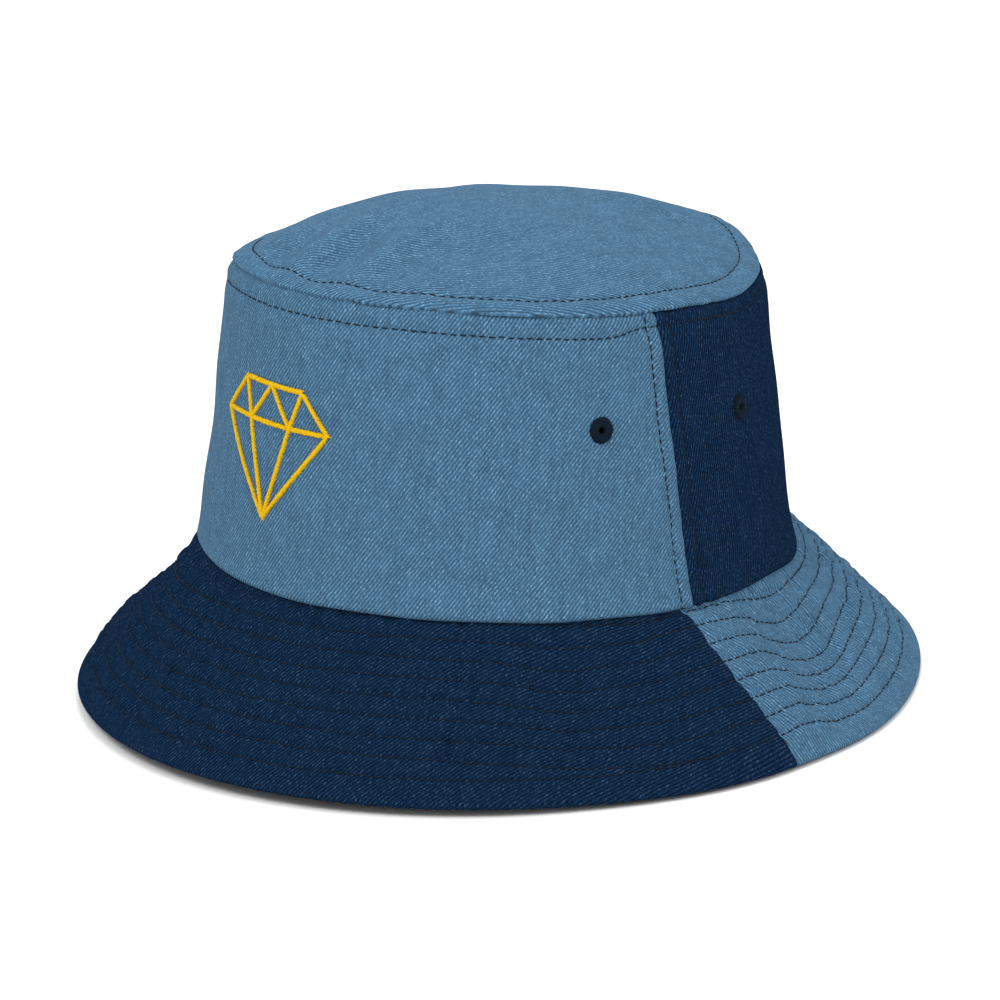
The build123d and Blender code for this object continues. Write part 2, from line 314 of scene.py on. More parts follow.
RIPPLES = (
    # degrees round from the front, degrees wide, height, distance from the edge, reach
    (81.0, 9.6, 3.0, 40, 55),
    (91.0, 4.8, 2.4, 10, 42),
    (104.6, 8.3, -6.2, 36, 22),
    (112.5, 5.5, -4.0, 34, 9),
    (56.0, 6.6, -2.3, 34, 16),
    (153.0, 16.0, 3.4, 46, 26),
    (-62.0, 22.0, -3.0, 42, 14),
    (-62.0, 22.0, 2.0, 14, 12),
)


def ripple(turn, from_edge):
    """The brim's few larger waves."""
    degrees = np.degrees(wrapped(turn))
    lift = np.zeros(np.shape(degrees))
    for centre, wide, height, middle, reach in RIPPLES:
        lift += height * bell(degrees - centre, wide) * bell(from_edge - middle, reach)
    return lift * smooth((brim_slant(turn) - from_edge) / 9) * smooth(from_edge / 7)


def lifted(surface, turn, distance, lift):
    """Points that stand a height off a surface, and the surface's directions there.

    Gives the points, the way out, the way along the turn and the way up the distance.
    """
    turn, distance, lift = np.broadcast_arrays(turn, distance, lift)
    small_turn, small_step = 2e-3, 0.2
    along = unit(surface(turn + small_turn, distance) - surface(turn - small_turn, distance))
    up = unit(surface(turn, distance + small_step) - surface(turn, distance - small_step))
    out = unit(np.cross(along, up))
    return surface(turn, distance) + out * lift[..., None], out, along, up


# ---- Rows of stitching, and the relief that they press into the cloth ----

TOPSTITCH_FROM_SEAM = 6.4
BAND_ROW_FROM_SEAM = 5.9
BAND_ROW_STEP = 2.1
SIDE_STITCH_FROM_SEAM = 4.9
SWEATBAND_STITCH_UP = 4.0
STITCH_PITCH = 2.75
FURROW_WIDE = 0.95
FURROW_DEEP = 0.42  # how deep a row of topstitching presses into the cloth
SIDE_FURROW_DEEP = 0.38
QUILT_FURROW_DEEP = 0.55
QUILT_PUFF = 0.2  # how far the cloth puffs up between the rows of quilting
TIP_PUFF, BAND_PUFF, SIDE_PUFF = 0.42, 0.30, 0.28  # how far the cloth puffs up beside a seam
SEAM_DITCH = 0.55  # how deep a seam between two pieces of cloth lies
SEAM_DITCH_WIDE = 0.6
GROOVE_DEEP, GROOVE_WIDE = 0.8, 0.9  # the ditch round the top of the band, under the tip
TIP_DITCH = 0.2
QUILT_FROM_EDGE = 8.2
QUILT_PITCH = 5.85
QUILT_PITCH_MORE = 0.65  # the rows lie this much further apart beside the side seams
QUILT_TURNS = 8
BRIM_SEAM_AHEAD = math.radians(3.1)  # where it starts, in front of the crown's side seam
BRIM_SEAM_SWING = math.radians(5.8)
QUILT_START = math.radians(80)  # the outer end, just in front of the left side seam
QUILT_STEP = math.radians(50)  # each turn steps inwards over this much of the brim


def side_seam_turn(up):
    """How far round from the front each side seam lies, at a distance up the wall."""
    return np.arccos(-SIDE_SEAM_Y / wall_oval(up)[0])


def brim_seam_turn(from_edge):
    """How far round from the front the brim's seams lie: they swing back to the edge."""
    swing = 1 - np.clip(from_edge / BRIM_SLANT, 0, 1)
    return side_seam_turn(0.0) - BRIM_SEAM_AHEAD + BRIM_SEAM_SWING * swing


def band_row_down(turn):
    """How far below the tip seam the band's topstitch runs: closer to it at the back."""
    degrees = np.abs(degrees_between(np.degrees(turn), 0))
    return BAND_ROW_FROM_SEAM - BAND_ROW_STEP * smooth((degrees - 71) / 9)


def seam_distance(turn, up):
    """The distance round the wall to the nearer side seam."""
    return np.abs(np.abs(wrapped(turn)) - side_seam_turn(up)) * wall_oval(up)[0]


def rows_in(turn, rows):
    """The distance from the brim's edge to a number of rows in from the first."""
    return QUILT_FROM_EDGE + (QUILT_PITCH + QUILT_PITCH_MORE * np.sin(turn) ** 6) * rows


def quilt_row(turn, row):
    """How far row 1, 2 ... of the spiral lies from the brim's edge."""
    behind = (QUILT_START - turn) % TAU
    step = smooth(behind / QUILT_STEP) if row > 1 else 1.0
    return rows_in(turn, row - 2 + step)


# The unevenness of each cloth, as kinds of waves: mm high, seed, mm long, how many.
PUCKERS = ((0.11, 11, 9, 7), (0.06, 12, 5, 7))
WALL_WAVES = ((0.22, 21, 34, 6),)
GROOVE_WAVES = ((0.2, 22, 14, 5),)
TIP_WAVES = ((1.1, 31, 58, 6), (0.35, 32, 26, 6))
BRIM_WAVES = ((0.34, 41, 6.5, 7), (0.28, 42, 4.0, 7))
SWEATBAND_WAVES = ((0.5, 51, 30, 6), (0.18, 52, 11, 6))


def unevenness(points, kinds):
    return sum(high * waves(points, seed, length, count) for high, seed, length, count in kinds)


def puff(share):
    """The rounded rise of the cloth between a seam, at 0, and its row of stitching, at 1."""
    return np.sin(np.clip(share, 0, 1) * math.pi)


def pucker(points, near):
    """Small irregular ripples that run across a row of stitching."""
    return near * unevenness(points, PUCKERS)


def wall_relief(turn, up):
    turn, up = np.broadcast_arrays(turn, up)
    points = wall(turn, up)
    from_tip = WALL_SLANT - up
    from_side = seam_distance(turn, up)
    row_down = band_row_down(turn)
    lift = -FURROW_DEEP * bell(from_tip - row_down, FURROW_WIDE)
    lift -= SIDE_FURROW_DEEP * bell(from_side - SIDE_STITCH_FROM_SEAM, FURROW_WIDE)
    lift += BAND_PUFF * puff(from_tip / row_down)
    lift += SIDE_PUFF * puff(from_side / SIDE_STITCH_FROM_SEAM)
    groove = GROOVE_DEEP + unevenness(points, GROOVE_WAVES)
    ditch = SEAM_DITCH * np.exp(-from_side / SEAM_DITCH_WIDE)
    lift -= groove * np.exp(-from_tip / GROOVE_WIDE) + ditch
    near = bell(np.maximum(from_tip - 3, 0), 8) + bell(np.maximum(from_side - 3, 0), 7)
    lift += pucker(points, np.minimum(near, 1)) - motif_dent(turn, up)
    return lift + unevenness(points, WALL_WAVES)


# The soft creases that run back from the front of the tip.
CREASE_HIGH = 2.4
CREASES_APART = 21.0
CREASES_FROM = 15.5
CREASES_Y, CREASES_LONG, CREASES_WIDE = -68, 20, 26


def tip_relief(turn, inwards):
    turn, inwards = np.broadcast_arrays(turn, inwards)
    points = tip(turn, inwards)
    lift = -FURROW_DEEP * bell(inwards - TOPSTITCH_FROM_SEAM, FURROW_WIDE)
    lift += TIP_PUFF * puff(inwards / TOPSTITCH_FROM_SEAM)
    lift -= TIP_DITCH * np.exp(-inwards / SEAM_DITCH_WIDE)
    lift += pucker(points, bell(np.maximum(inwards - 4, 0), 9))
    x, y = points[..., 0], points[..., 1]
    crease = np.cos((x + 0.15 * y + CREASES_FROM) / CREASES_APART * TAU)
    there = bell(y - CREASES_Y, CREASES_LONG) * bell(x, CREASES_WIDE)
    lift += CREASE_HIGH * crease * there * smooth(inwards / 9)
    settle_in = smooth((inwards - 6) / 25)
    return lift + settle_in * unevenness(points, TIP_WAVES)


def quilt_distance(turn, from_edge):
    """The distance across the brim to the nearest row of quilting."""
    nearest = np.full(np.shape(from_edge), 99.0)
    for row in range(1, QUILT_TURNS + 2):
        nearest = np.minimum(nearest, np.abs(from_edge - quilt_row(turn, row)))
    return nearest


def quilting(turn, from_edge):
    """Two heights on the brim: pressed in along the rows, and rippled between them."""
    points = level_oval(turn, EDGE_LONG, EDGE_WIDE, 0.35 * from_edge)
    rows = quilt_distance(turn, from_edge)
    quilted = smooth((from_edge - 2) / 6)
    pressed = QUILT_PUFF - QUILT_FURROW_DEEP * bell(rows, FURROW_WIDE)
    return pressed, quilted * unevenness(points, BRIM_WAVES)


def brim_seam_ditch(turn, from_edge):
    across = np.abs(np.abs(wrapped(turn)) - brim_seam_turn(from_edge)) * (BASE_LONG + EDGE_LONG) / 2
    return SEAM_DITCH * np.exp(-across / SEAM_DITCH_WIDE)


def brim_relief(turn, from_edge):
    turn, from_edge = np.broadcast_arrays(turn, from_edge)
    pressed, rippled = quilting(turn, from_edge)
    return pressed + rippled - brim_seam_ditch(turn, from_edge)


def under_brim(turn, from_edge):
    """The underside of the brim, as a height over the upper side."""
    turn, from_edge = np.broadcast_arrays(turn, from_edge)
    pressed, rippled = quilting(turn, from_edge)
    return -BRIM_THICK - 0.6 * pressed + 0.8 * rippled + brim_seam_ditch(turn, from_edge)


def wall_inside(turn, up):
    return wall_relief(turn, up) - DENIM


def tape_face(turn, up):
    """The inner face of the tapes that cover the seams inside the crown."""
    return wall_inside(turn, up) - CLOTH_GAP - TAPE


def tape_inside(turn, up):
    """The inner face of the tip seam's tape, where it lies over the side seams' tapes."""
    return tape_face(turn, up) - CLOTH_GAP - TAPE


def tip_inside(turn, inwards):
    return tip_relief(turn, inwards) - DENIM


SWEATBAND_LOOSE = 0.6  # how far its top hangs off the lining
BEHIND_LABEL = -88.0  # degrees round from the front
BEHIND_LABEL_WIDE = 17.0
BEHIND_LABEL_OUT = 2.0  # so much closer to the wall, so that the label hangs free


def sweatband_face(turn, up):
    """The side of the sweatband that touches the head, as a height over the lining."""
    turn, up = np.broadcast_arrays(turn, up)
    points = lining(turn, up)
    behind = bell(degrees_between(np.degrees(turn), BEHIND_LABEL), BEHIND_LABEL_WIDE)
    behind = behind * smooth((up - ALLOWANCE + 2) / 9)
    loose = smooth((up - SWEATBAND_STITCH_UP) / 16) * (1 - behind)
    loose = loose * (SWEATBAND_LOOSE + unevenness(points, SWEATBAND_WAVES))
    furrow = 0.3 * bell(up - SWEATBAND_STITCH_UP, 1.0)
    return -HEAD_IN - 0.5 - loose + BEHIND_LABEL_OUT * behind + furrow


# ---- The embroidered motif: a cut gem ----

GEM_TOP = ((-12, 19), (0, 19), (12, 19))
GEM_GIRDLE = ((-21, 8), (-8, 8), (8, 8), (21, 8))
GEM_POINT = (0, -20)
GEM_ZIGZAG = [point for pair in zip(GEM_GIRDLE, GEM_TOP) for point in pair] + [GEM_GIRDLE[-1]]
GEM_LINES = [(GEM_TOP[0], GEM_TOP[-1]), (GEM_GIRDLE[0], GEM_GIRDLE[-1])]
GEM_LINES += list(zip(GEM_ZIGZAG, GEM_ZIGZAG[1:]))
GEM_LINES += [(GEM_POINT, corner) for corner in GEM_GIRDLE]
MOTIF_UP = 0.46 * WALL_SLANT
MOTIF_WIDE = (BASE_WIDE + SEAM_WIDE) / 2
MOTIF_REACH = (26, 30)  # across and up from its middle, past which the cloth is not dented
MOTIF_DENT, MOTIF_DENT_WIDE = 0.3, 1.6


def on_wall(x, y, centre_turn=0.0, centre_up=MOTIF_UP):
    """The turn and the distance up the wall of a point drawn flat on it."""
    across = MOTIF_WIDE + (BASE_LONG - BASE_WIDE) * math.sin(centre_turn) ** 2
    return centre_turn + x / across, centre_up + y


def line_distance(x, y, start, stop):
    """How far points are from a straight line between two points."""
    start, stop = np.array(start, float), np.array(stop, float)
    way = stop - start
    share = ((x - start[0]) * way[0] + (y - start[1]) * way[1]) / (way @ way)
    share = np.clip(share, 0, 1)
    return np.hypot(x - start[0] - share * way[0], y - start[1] - share * way[1])


def motif_dent(turn, up):
    """How deep the embroidery's lines pull the cloth in."""
    x = wrapped(turn) * MOTIF_WIDE
    y = up - MOTIF_UP
    dent = np.zeros(np.shape(x))
    close = (np.abs(x) < MOTIF_REACH[0]) & (np.abs(y) < MOTIF_REACH[1])
    if close.any():
        nearest = np.min([line_distance(x[close], y[close], *line) for line in GEM_LINES], axis=0)
        dent[close] = MOTIF_DENT * bell(nearest, MOTIF_DENT_WIDE)
    return dent


# ---- Meshes ----


def new_object(name, points, faces):
    """A smoothly shaded object from points in millimetres and some arrays of faces."""
    mesh = bpy.data.meshes.new(name)
    all_faces = [face for group in faces for face in group.tolist()]
    mesh.from_pydata((points * MM).tolist(), [], all_faces, shade_flat=False)
    piece = bpy.data.objects.new(name, mesh)
    bpy.context.collection.objects.link(piece)
    return piece


FLAT = {}  # how each sheet was laid out flat, by the name of its piece


def lay_cloth(piece, flat):
    """Gives each corner of each face its place on the flat cloth, as a UV map."""
    layer = piece.data.uv_layers.new(name="cloth")
    layer.uv.foreach_set("vector", flat.astype(np.float32).ravel())


def declare_sheet(piece):
    flat = FLAT[piece.name]
    one, other = flat[1:, 1:] - flat[:-1, :-1], flat[:-1, 1:] - flat[1:, :-1]
    area = np.abs(one[..., 0] * other[..., 1] - one[..., 1] * other[..., 0]).sum() / 2 * MM**2


def finish_piece(piece, slot, on=(), body="hat"):
    """Gives a piece its material, parents it to its body's empty and hides the CAD node it replaces.

    A piece is named after the CAD node that it replaces, with a word for what it is made
    of. on names what a piece of cloth is sewn to.
    """
    node = piece.name.rsplit("_", 1)[0]
    piece.data.materials.append(MATERIALS[slot])
    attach(piece, body)
    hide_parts(node)
    if on:
        declare_sheet(piece)


def mark_border(mesh, border):
    """Keeps the shading crisp along the cut edge of a sheet."""
    ends = np.zeros(len(mesh.edges) * 2, np.int32)
    mesh.edges.foreach_get("vertices", ends)
    ends = ends.reshape(-1, 2)
    sharp = mesh.attributes.new("sharp_edge", "BOOLEAN", "EDGE")
    sharp.data.foreach_set("value", (border[ends[:, 0]] > 0) & (border[ends[:, 0]] == border[ends[:, 1]]))


# Each side of a quad of the grid: the way to its neighbour, and the side's two corners.
QUAD_SIDES = (
    ((0, -1), (0, 0), (1, 0)),
    ((1, 0), (1, 0), (1, 1)),
    ((0, 1), (1, 1), (0, 1)),
    ((-1, 0), (0, 1), (0, 0)),
)


def sheet_mesh(name, front, back, flat, closed=False, capped=False, keep=None):
    """A closed sheet of cloth between two grids of points.

    The first index runs round the hat and the second up or inwards. A closed sheet
    joins its last column to its first, and flat then has one column more. A capped
    one meets in a point at its end. keep says which quads of the grid are not holes.
    """
    FLAT[name] = flat
    columns, rows = front.shape[:2]
    under = columns * rows
    spot = np.arange(under).reshape(columns, rows)
    spot = np.vstack([spot, spot[:1]]) if closed else spot
    place = np.arange(flat.shape[0] * rows).reshape(-1, rows)
    wide, tall = spot.shape[0] - 1, rows - 1
    keep = np.ones((wide, tall), bool) if keep is None else keep
    i, j = np.nonzero(keep)

    def corners_of(grid):
        return np.stack([grid[i, j], grid[i + 1, j], grid[i + 1, j + 1], grid[i, j + 1]], -1)

    faces = [corners_of(spot), corners_of(spot)[:, ::-1] + under]
    places = [corners_of(place), corners_of(place)[:, ::-1]]
    border = np.zeros(2 * under + 2, int)
    for (di, dj), (pi, pj), (qi, qj) in QUAD_SIDES:
        ni, nj = i + di, j + dj
        ni = ni % wide if closed else ni
        inside = (ni >= 0) & (ni < wide) & (nj >= 0) & (nj < tall)
        joined = inside & keep[np.clip(ni, 0, wide - 1), np.clip(nj, 0, tall - 1)]
        if capped:
            joined |= nj >= tall
        a, b = i[~joined], j[~joined]
        p, q = spot[a + pi, b + pj], spot[a + qi, b + qj]
        faces.append(np.stack([q, p, p + under, q + under], -1))
        start, stop = place[a + pi, b + pj], place[a + qi, b + qj]
        places.append(np.stack([stop, start, start, stop], -1))
        border[np.concatenate([p, q])] = 1
        border[np.concatenate([p, q]) + under] = 2
    points = np.concatenate([front.reshape(-1, 3), back.reshape(-1, 3)])
    flat = flat.reshape(-1, 2)
    faces, places = [np.concatenate(faces)], [np.concatenate(places)]
    if capped:
        a, b = spot[:-1, -1], spot[1:, -1]
        flat_a, flat_b = place[:-1, -1], place[1:, -1]
        middle, flat_middle = np.full(len(a), len(points)), np.full(len(a), len(flat))
        faces.append(np.stack([a, b, middle], -1))
        faces.append(np.stack([b + under, a + under, middle + 1], -1))
        places.append(np.stack([flat_a, flat_b, flat_middle], -1))
        places.append(np.stack([flat_b, flat_a, flat_middle], -1))
        points = np.vstack([points, front[:, -1].mean(axis=0), back[:, -1].mean(axis=0)])
        flat = np.vstack([flat, flat[place[:-1, -1]].mean(axis=0)])
    piece = new_object(name, points, faces)
    lay_cloth(piece, np.concatenate([flat[p].reshape(-1, 2) for p in places]))
    mark_border(piece.data, border)
    return piece


def arc_length(points, axis=0):
    """Distances along a grid of points, from its first row or column."""
    steps = np.linalg.norm(np.diff(points, axis=axis), axis=-1)
    zero = np.zeros_like(np.take(steps, [0], axis=axis))
    return np.concatenate([zero, np.cumsum(steps, axis=axis)], axis=axis)


def between_seams(half, seam, columns):
    """Turns from one side seam to the other, for one half. seam is the left one's."""
    share = np.linspace(0, 1, columns)[:, None]
    if half == "front":
        return -seam + 2 * seam * share
    return seam + (TAU - 2 * seam) * share


class Cone:
    """Lays a slanting ring of cloth flat, the way it was cut: as part of a ring."""

    def __init__(self, low_long, low_wide, high_long, high_wide, slant):
        low = math.hypot(low_long, low_wide) / math.sqrt(2)
        high = math.hypot(high_long, high_wide) / math.sqrt(2)
        self.low_radius = low * slant / (low - high)
        self.narrowing = low / self.low_radius

    def flat(self, turn, up, middle=0.0):
        """Places across and along the cloth, whose grain runs up at the middle turn."""
        turn, up = np.broadcast_arrays(turn, up)
        radius = self.low_radius - up
        angle = (turn - middle) * self.narrowing
        return np.stack([radius * np.sin(angle), self.low_radius - radius * np.cos(angle)], -1)


HALF_MIDDLE = {"front": 0.0, "back": math.pi}
PANELS = ["side_panel_front", "side_panel_back"]
SIDES = (("left", 1), ("right", -1))
WALL_CONE = Cone(BASE_LONG, BASE_WIDE, SEAM_LONG, SEAM_WIDE, WALL_SLANT)
BRIM_CONE = Cone(EDGE_LONG, EDGE_WIDE, BASE_LONG, BASE_WIDE, BRIM_SLANT)


def cloth_on(name, surface, turn, distance, outer, thick, flat, **shape):
    """A sheet of cloth along one of the surfaces. outer is how high its outside lies."""
    front = lifted(surface, turn, distance, outer)[0]
    back = lifted(surface, turn, distance, outer - thick)[0]
    return sheet_mesh(name, front, back, flat, **shape)


def patch(name, surface, face, centre, size, thick, squareness, rings=20, spokes=120):
    """A soft-cornered rectangle of cloth on the inner side of a face of the crown."""
    spin = np.linspace(0, TAU, spokes, endpoint=False)[:, None]
    share = np.linspace(1, 0.03, rings)[None, :]
    x = size[0] / 2 * np.sign(np.cos(spin)) * np.abs(np.cos(spin)) ** (2 / squareness) * share
    y = size[1] / 2 * np.sign(np.sin(spin)) * np.abs(np.sin(spin)) ** (2 / squareness) * share
    turn, up = on_wall(x, y, *centre)
    outer = face(turn, up) - CLOTH_GAP
    flat = np.stack([x, y], -1)
    flat = np.vstack([flat, flat[:1]])
    return cloth_on(name, surface, turn, up, outer, thick, flat, closed=True, capped=True)


# ---- Threads ----

SIDES_OF_THREAD = 7
STITCH_SECTIONS = 9
STITCH_THICK = 0.42
STITCH_RISE, STITCH_DEPTH = 0.22, 0.28  # over the cloth, and into it at its ends
STITCH_SHARE = 0.86  # of the pitch that the thread shows


def tubes(centre, up, aside, girth):
    """The shape of many short round threads. Arrays run over threads, then sections."""
    count, sections = centre.shape[:2]
    spin = np.arange(SIDES_OF_THREAD) / SIDES_OF_THREAD * TAU
    girth = np.broadcast_to(girth, (count, sections))[..., None, None]
    ring = up[:, :, None] * np.sin(spin)[:, None] + aside[:, :, None] * np.cos(spin)[:, None]
    skin = centre[:, :, None] + ring * girth
    index = np.arange(count * sections * SIDES_OF_THREAD).reshape(count, sections, -1)
    turned = np.roll(index, -1, axis=2)
    quads = np.stack([index[:, :-1], turned[:, :-1], turned[:, 1:], index[:, 1:]], -1)
    ends = np.concatenate([index[:, 0, ::-1], index[:, -1]])
    along = arc_length(centre, axis=1)[..., None] + np.arange(count)[:, None, None] * 1.7
    flat = np.stack(np.broadcast_arrays(along, spin * 0.25), -1)
    return skin.reshape(-1, 3), quads.reshape(-1, 4), ends, flat.reshape(-1, 2)


def thread_object(name, shapes):
    """One object from the shapes of several runs of thread."""
    points, quads, ends, flat, first = [], [], [], [], 0
    for skin, skin_quads, skin_ends, skin_flat in shapes:
        points.append(skin)
        quads.append(skin_quads + first)
        ends.append(skin_ends + first)
        flat.append(skin_flat)
        first += len(skin)
    quads, ends, flat = np.concatenate(quads), np.concatenate(ends), np.concatenate(flat)
    piece = new_object(name, np.concatenate(points), [quads, ends])
    lay_cloth(piece, np.concatenate([flat[quads.ravel()], flat[ends.ravel()]]))
    return piece


def stitches(path, out, seed):
    """Separate stitches along a path that lies on the cloth. out is the way off it.

    Each one is a short thread that comes up out of the cloth and goes back in.
    """
    draw = np.random.default_rng(seed)
    along = arc_length(path)
    count = int(along[-1] / STITCH_PITCH)
    starts = (np.arange(count) + 0.07) * along[-1] / count
    length = along[-1] / count * STITCH_SHARE
    t = np.linspace(0, 1, STITCH_SECTIONS)
    place = starts[:, None] + t * length + draw.uniform(-0.08, 0.08, (count, 1))
    centre = np.stack([np.interp(place, along, path[:, k]) for k in range(3)], -1)
    up = unit(np.stack([np.interp(place, along, out[:, k]) for k in range(3)], -1))
    aside = np.cross(up, unit(np.gradient(centre, axis=1)))
    arch = np.sin(math.pi * t) ** 0.6
    centre = centre + up * (arch * (STITCH_RISE + STITCH_DEPTH) - STITCH_DEPTH)[None, :, None]
    centre += aside * draw.normal(0, 0.05, (count, 1, 1))
    girth = STITCH_THICK / 2 * (0.72 + 0.28 * arch) * draw.uniform(0.9, 1.08, (count, 1))
    return tubes(centre, up, aside, girth)


def row_on(surface, face, turn, distance, seed, side=1):
    """Stitches along a line on one side of one of the hat's surfaces."""
    path, out, _, _ = lifted(surface, turn, distance, face(turn, distance))
    return stitches(path, out * side, seed)


# ---- Materials ----


class Value:
    """What a node gives out. Plain numbers can be added, multiplied and so on."""

    def __init__(self, nodes, socket):
        self.nodes = nodes
        self.socket = socket

    def __add__(self, other):
        return self.nodes.math("ADD", self, other)

    def __sub__(self, other):
        return self.nodes.math("SUBTRACT", self, other)

    def __mul__(self, other):
        return self.nodes.math("MULTIPLY", self, other)

    def __truediv__(self, other):
        return self.nodes.math("DIVIDE", self, other)


class Nodes:
    """A short way to write a material's node tree."""

    def __init__(self, name):
        self.material = bpy.data.materials.new(name)
        self.material.use_nodes = True
        self.tree = self.material.node_tree
        self.shader = self.tree.nodes["Principled BSDF"]

    def add(self, kind, output, inputs, **settings):
        """Makes a node and gives one of its outputs."""
        node = self.tree.nodes.new(kind)
        for key, value in settings.items():
            setattr(node, key, value)
        for key, value in inputs.items():
            self.plug(node.inputs[key], value)
        return Value(self, node.outputs[output])

    def plug(self, socket, value):
        """Sets a socket to a number or a colour, or joins it to what a node gives out."""
        if isinstance(value, Value):
            self.tree.links.new(value.socket, socket)
        elif isinstance(value, tuple):
            socket.default_value = (*value, 1)
        else:
            socket.default_value = value

    def math(self, operation, a, b=0.0):
        return self.add("ShaderNodeMath", 0, {0: a, 1: b}, operation=operation)

    def mix(self, share, a, b, blend="MIX"):
        inputs = {"Factor": share, "A": a, "B": b}
        return self.add("ShaderNodeMix", "Result", inputs, data_type="RGBA", blend_type=blend)

    def noise(self, vector, scale, detail=2.0, roughness=0.5):
        inputs = {"Vector": vector, "Scale": scale, "Detail": detail, "Roughness": roughness}
        return self.add("ShaderNodeTexNoise", "Fac", inputs)

    def spread(self, value, low, high, to_low=0.0, to_high=1.0):
        inputs = {"Value": value, "From Min": low, "From Max": high, "To Min": to_low, "To Max": to_high}
        return self.add("ShaderNodeMapRange", "Result", inputs)

    def vector(self, x, y, z=0.0):
        return self.add("ShaderNodeCombineXYZ", 0, {"X": x, "Y": y, "Z": z})

    def cloth(self):
        """The place on the flat cloth, in millimetres: across it, along it, and both."""
        place = self.add("ShaderNodeUVMap", "UV", {}, uv_map="cloth")
        across, along = (self.add("ShaderNodeSeparateXYZ", axis, {"Vector": place}) for axis in "XY")
        return across, along, place

    def bump(self, height, strength, distance, normal=None):
        inputs = {"Height": height, "Strength": strength, "Distance": distance}
        if normal:
            inputs["Normal"] = normal
        return self.add("ShaderNodeBump", "Normal", inputs)

    def surface(self, **inputs):
        for key, value in inputs.items():
            self.plug(self.shader.inputs[key.replace("_", " ")], value)
        return self.material


WARP_PITCH = 0.286  # warp yarns across the cloth, 35 to the centimetre
WEFT_PITCH = 0.435  # weft yarns along it, 23 to the centimetre
TWILL_REPEAT = 4


def twill(n, across, along, warp_pitch=WARP_PITCH, weft_pitch=WEFT_PITCH):
    """A three-over-one twill. Gives where weft shows, the yarns' height and their numbers."""
    yarn_place = across / warp_pitch
    yarn = n.math("FLOOR", yarn_place)
    beside = yarn_place - yarn - 0.5
    repeat_place = (along / weft_pitch - yarn) / TWILL_REPEAT
    float_number = n.math("FLOOR", repeat_place)
    phase = repeat_place - float_number
    weft = n.spread(n.math("ABSOLUTE", phase - 0.125), 0.155, 0.095)
    arch = n.math("SINE", (phase - 0.25) / 0.75 * math.pi)
    arch = n.math("POWER", n.math("MAXIMUM", arch, 0.0), 0.5)
    return weft, n.math("COSINE", beside * math.pi) * arch, yarn, float_number


def denim(deep, pale, fleck_colour, fleck_share, gap_shade, gloss):
    """Denim: slanting wales of unevenly dyed floats, painted shade in the gaps between them, a painted
    highlight on the raised yarns, and pale specks.
    """
    n = Nodes("denim")
    across, along, place = n.cloth()
    across = across + n.noise(place, 0.06, 2.0) * 1.4
    _, height, yarn, float_number = twill(n, across, along)
    wale = along / WEFT_PITCH - across / WARP_PITCH
    slant = math.atan2(WEFT_PITCH, WARP_PITCH)
    run = across * math.cos(slant) + along * math.sin(slant)
    inputs = {"Vector": n.vector(yarn, float_number)}
    fleck = n.add("ShaderNodeTexWhiteNoise", "Value", inputs, noise_dimensions="2D")
    heather = n.noise(n.vector(wale * 0.45, run * 1.15), 1.0, 3.0, 0.6)
    streak = n.noise(n.vector(across * 0.6, along * 0.05), 1.0, 2.0)
    blotch = n.noise(place, 0.16, 4.0, 0.6)
    shade = fleck * 0.16 + n.spread(heather, 0.32, 0.68) * 0.50
    shade = shade + n.spread(streak, 0.25, 0.75) * 0.17 + n.spread(blotch, 0.3, 0.7) * 0.17
    colour = n.mix(shade, deep, pale)
    ridge = n.math("COSINE", (wale - 2.5) * (TAU / TWILL_REPEAT))
    relief = height * 0.35 + n.spread(ridge, -1.0, 0.6, 0.0, 0.65)
    # Painted shade and painted highlight: the colour is darkened in the low places between the yarns and
    # the wales, and brightened a little on the raised yarns.
    light = n.spread(relief, 0.1, 0.95, gap_shade, 1.12)
    colour = n.mix(1.0, colour, n.vector(light, light, light), "MULTIPLY")
    speck = fleck * 0.25 + heather
    shows = n.spread(speck, 0.70, 0.86) * n.spread(relief, 0.3, 0.8, 0.0, fleck_share)
    colour = n.mix(shows, colour, fleck_colour)
    fuzz = n.bump(n.noise(place, 7.0, 3.0, 0.7), 0.25, 0.0003)
    normal = n.bump(relief + heather * 0.5, 0.6, 0.0003, fuzz)
    return n.surface(Base_Color=colour, Roughness=0.85, Normal=normal, Specular_IOR_Level=gloss)


THREAD_PLY = 0.42  # along the thread, from one strand to the next


def thread(deep, pale, rough=0.7, gloss=0.06):
    """Twisted sewing or embroidery thread."""
    n = Nodes("thread")
    along, around, place = n.cloth()
    twist = along * (TAU / THREAD_PLY) + around * 8.0
    strand = n.math("ABSOLUTE", n.math("SINE", twist * 0.5))
    # Painted shade: the colour is darker in the grooves between the strands, where the bump is low.
    shade = strand * n.spread(n.noise(place, 1.7, 2.0), 0.3, 0.7, 0.45, 1.0)
    colour = n.mix(shade, deep, pale)
    normal = n.bump(strand, 0.6, 0.00012)
    return n.surface(Base_Color=colour, Roughness=rough, Normal=normal, Specular_IOR_Level=gloss)


def fine_twill(deep, pale):
    """The light cotton twill of the sweatband."""
    n = Nodes("fine_twill")
    across, along, place = n.cloth()
    weft, height, _, _ = twill(n, across, along, 0.22, 0.30)
    colour = n.mix(n.noise(place, 0.5, 3.0, 0.6) * 0.6 + weft * 0.25, deep, pale)
    normal = n.bump(height, 0.5, 0.00012)
    return n.surface(Base_Color=colour, Roughness=0.85, Normal=normal, Specular_IOR_Level=0.2)


def plain_weave(deep, pale, pitch, rough=0.8):
    """A plain over-and-under weave, for tapes and labels."""
    n = Nodes("plain_weave")
    across, along, place = n.cloth()
    one, other = (n.math("SINE", way * (math.pi / pitch)) for way in (across, along))
    height = n.math("ABSOLUTE", one * other)
    # Painted shade: the colour is lighter on the raised crossings of the yarns and darker between them.
    colour = n.mix((height + n.noise(place, 0.7, 3.0, 0.6)) * 0.5, deep, pale)
    normal = n.bump(height, 0.45, 0.00012)
    return n.surface(Base_Color=colour, Roughness=rough, Normal=normal, Specular_IOR_Level=0.25)


